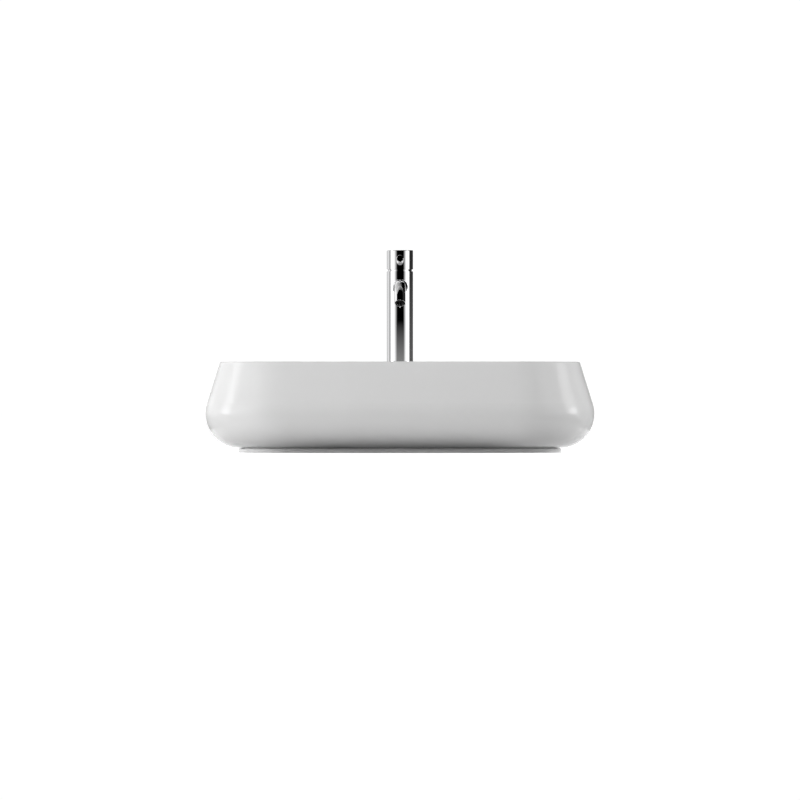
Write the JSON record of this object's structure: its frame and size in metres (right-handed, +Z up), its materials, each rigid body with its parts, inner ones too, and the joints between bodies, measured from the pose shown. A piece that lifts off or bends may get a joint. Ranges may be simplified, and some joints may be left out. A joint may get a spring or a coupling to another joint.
{
  "type": "countertop washbasin",
  "caption": "White ceramic countertop washbasin with inward-leaning walls, a rear tap deck, a chrome single-lever pillar mixer with bent spout, and a push-open waste.",
  "frame": {"origin": "on the counter, under the middle of the basin's outline", "axes": "+X along the basin's width, +Y towards its tap deck and the wall, +Z up; the front faces -Y"},
  "size_m": [0.6, 0.43, 0.3172],
  "materials": {
    "glaze": "gloss",
    "chrome": "polished",
    "brass": "machined",
    "steel": "brushed",
    "rubber": "matte",
    "plastic": "matte",
    "black_plastic": "matte",
    "disc": "lapped"
  },
  "bodies": {
    "fixed": {"aerator_housing": "black_plastic", "aerator_insert": "black_plastic", "aerator_seal": "rubber", "basin": "glaze", "cartridge_base": "plastic", "cartridge_housing": "plastic", "cartridge_nut": "brass", "cartridge_seals": "rubber", "click_sleeve": "brass", "click_spring": "steel", "dome_cover": "chrome", "fixed_disc": "disc", "fixing_nut": "brass", "fixing_pad": "rubber", "fixing_plate": "steel", "fixing_stud": "steel", "spout_collar": "chrome", "spout_seal": "rubber", "spout_tube": "chrome", "tap_base_seal": "rubber", "tap_body": "chrome", "waste_backnut": "brass", "waste_body": "chrome", "waste_flange_seal": "rubber", "waste_lower_seal": "rubber", "waste_slip_washer": "plastic"},
    "rotor": {"mixer_rotor": "plastic", "rotor_pin": "steel"},
    "lever": {"lever_stem": "steel", "handle_cap": "chrome", "handle_lever": "chrome", "handle_screw": "steel"},
    "discs": {"disc_carrier": "plastic", "moving_disc": "disc"},
    "plug": {"plug_cap": "chrome", "plug_stem": "brass", "plug_seal": "rubber"}
  },
  "joints": [
    {"name": "temperature_turn", "type": "hinge", "parent": "fixed", "child": "rotor", "pos_m": [0, 0.1327, 0.2698], "axis": [0, 0, 1], "range_deg": [-45, 45]},
    {"name": "flow_lift", "type": "hinge", "parent": "rotor", "child": "lever", "pos_m": [0, 0.1327, 0.2698], "axis": [-1, 0, 0], "range_deg": [0, 22]},
    {"name": "disc_slide", "type": "slide", "parent": "rotor", "child": "discs", "axis": [0, -1, 0], "range_m": [0, 0.0049]},
    {"name": "plug_slide", "type": "slide", "parent": "fixed", "child": "plug", "axis": [0, 0, 1], "range_m": [0, 0.008], "deforming": ["click_spring"]}
  ],
  "couplings": [
    {"joint": "disc_slide", "follows": "flow_lift", "m_per_rad": 0.012488}
  ]
}
